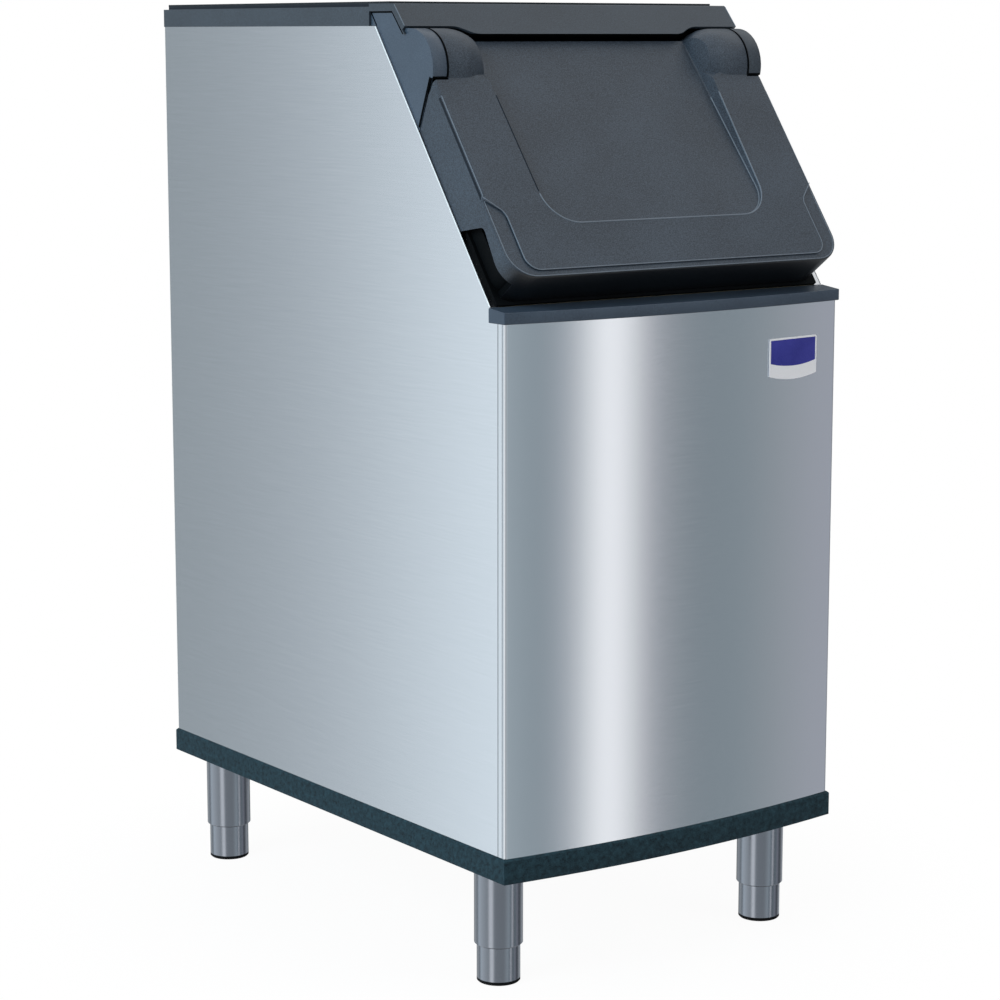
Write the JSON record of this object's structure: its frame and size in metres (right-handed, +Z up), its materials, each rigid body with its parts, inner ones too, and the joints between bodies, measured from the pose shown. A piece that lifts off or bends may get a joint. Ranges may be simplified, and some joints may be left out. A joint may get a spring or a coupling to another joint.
{
  "type": "ice storage bin",
  "caption": "Floor-standing insulated ice storage bin with a sloping lift-up door, an open top that an ice machine sits on, a rear drain and adjustable legs.",
  "frame": {"origin": "on the floor under the middle of the whole bin's bounding box", "axes": "+Z up; -Y is the front with the sloping door; +X is on the right of someone facing the front"},
  "size_m": [0.5588, 0.8636, 1.27],
  "materials": {
    "steel": "stainless sheet with a fine vertical grain",
    "galvanised": "dull galvanised sheet",
    "zinc": "zinc plated fasteners",
    "pin_steel": "turned stainless pin",
    "trim_plastic": "moulded blue-black trim, satin",
    "door_plastic": "moulded charcoal door, fine grain",
    "frame_plastic": "moulded black frame",
    "liner_plastic": "white food-safe tub",
    "drain_plastic": "moulded drain spout",
    "seal_rubber": "soft black door seal",
    "gasket_foam": "closed-cell foam strip",
    "bush_plastic": "plain acetal bushes",
    "foam": "poured insulation",
    "plate_enamel": "plain blue enamelled plate with a silver frame",
    "leg_plastic": "satin grey leg tubes",
    "foot_steel": "satin grey foot sleeves",
    "pad_rubber": "non-slip pads"
  },
  "bodies": {
    "cabinet": {"back_panel": "galvanised", "back_panel_screws": "zinc", "base_rail": "trim_plastic", "bottom_panel": "galvanised", "deflector_screws": "frame_plastic", "door_frame": "frame_plastic", "drain_fitting": "drain_plastic", "drain_strainer": "liner_plastic", "foam_insulation": "foam", "front_left_leg": "leg_plastic", "front_leg_channel": "galvanised", "front_panel": "steel", "front_right_leg": "leg_plastic", "header": "trim_plastic", "hinge_pins": "pin_steel", "ice_deflector": "liner_plastic", "left_hinge_cover": "trim_plastic", "left_side_panel": "steel", "leg_nuts": "zinc", "leg_studs": "zinc", "liner": "liner_plastic", "nameplate": "plate_enamel", "rear_left_leg": "leg_plastic", "rear_leg_channel": "galvanised", "rear_right_leg": "leg_plastic", "right_hinge_cover": "trim_plastic", "right_side_panel": "steel", "sill": "trim_plastic", "top_gasket": "gasket_foam", "top_trim": "trim_plastic"},
    "door": {"door_shell": "door_plastic", "door_pan": "liner_plastic", "door_insulation": "foam", "door_seal": "seal_rubber", "hinge_bushes": "bush_plastic"},
    "front_left_foot_body": {"front_left_foot": "foot_steel", "front_left_pad": "pad_rubber"},
    "front_right_foot_body": {"front_right_foot": "foot_steel", "front_right_pad": "pad_rubber"},
    "rear_left_foot_body": {"rear_left_foot": "foot_steel", "rear_left_pad": "pad_rubber"},
    "rear_right_foot_body": {"rear_right_foot": "foot_steel", "rear_right_pad": "pad_rubber"}
  },
  "joints": [
    {"name": "door_hinge", "type": "hinge", "parent": "cabinet", "child": "door", "pos_m": [0, -0.2018, 1.1857], "axis": [-1, 0, 0], "range_deg": [0, 110]},
    {"name": "front_left_foot_slide", "type": "slide", "parent": "cabinet", "child": "front_left_foot_body", "axis": [0, 0, -1], "range_m": [0, 0.0508]},
    {"name": "front_right_foot_slide", "type": "slide", "parent": "cabinet", "child": "front_right_foot_body", "axis": [0, 0, -1], "range_m": [0, 0.0508]},
    {"name": "rear_left_foot_slide", "type": "slide", "parent": "cabinet", "child": "rear_left_foot_body", "axis": [0, 0, -1], "range_m": [0, 0.0508]},
    {"name": "rear_right_foot_slide", "type": "slide", "parent": "cabinet", "child": "rear_right_foot_body", "axis": [0, 0, -1], "range_m": [0, 0.0508]}
  ]
}
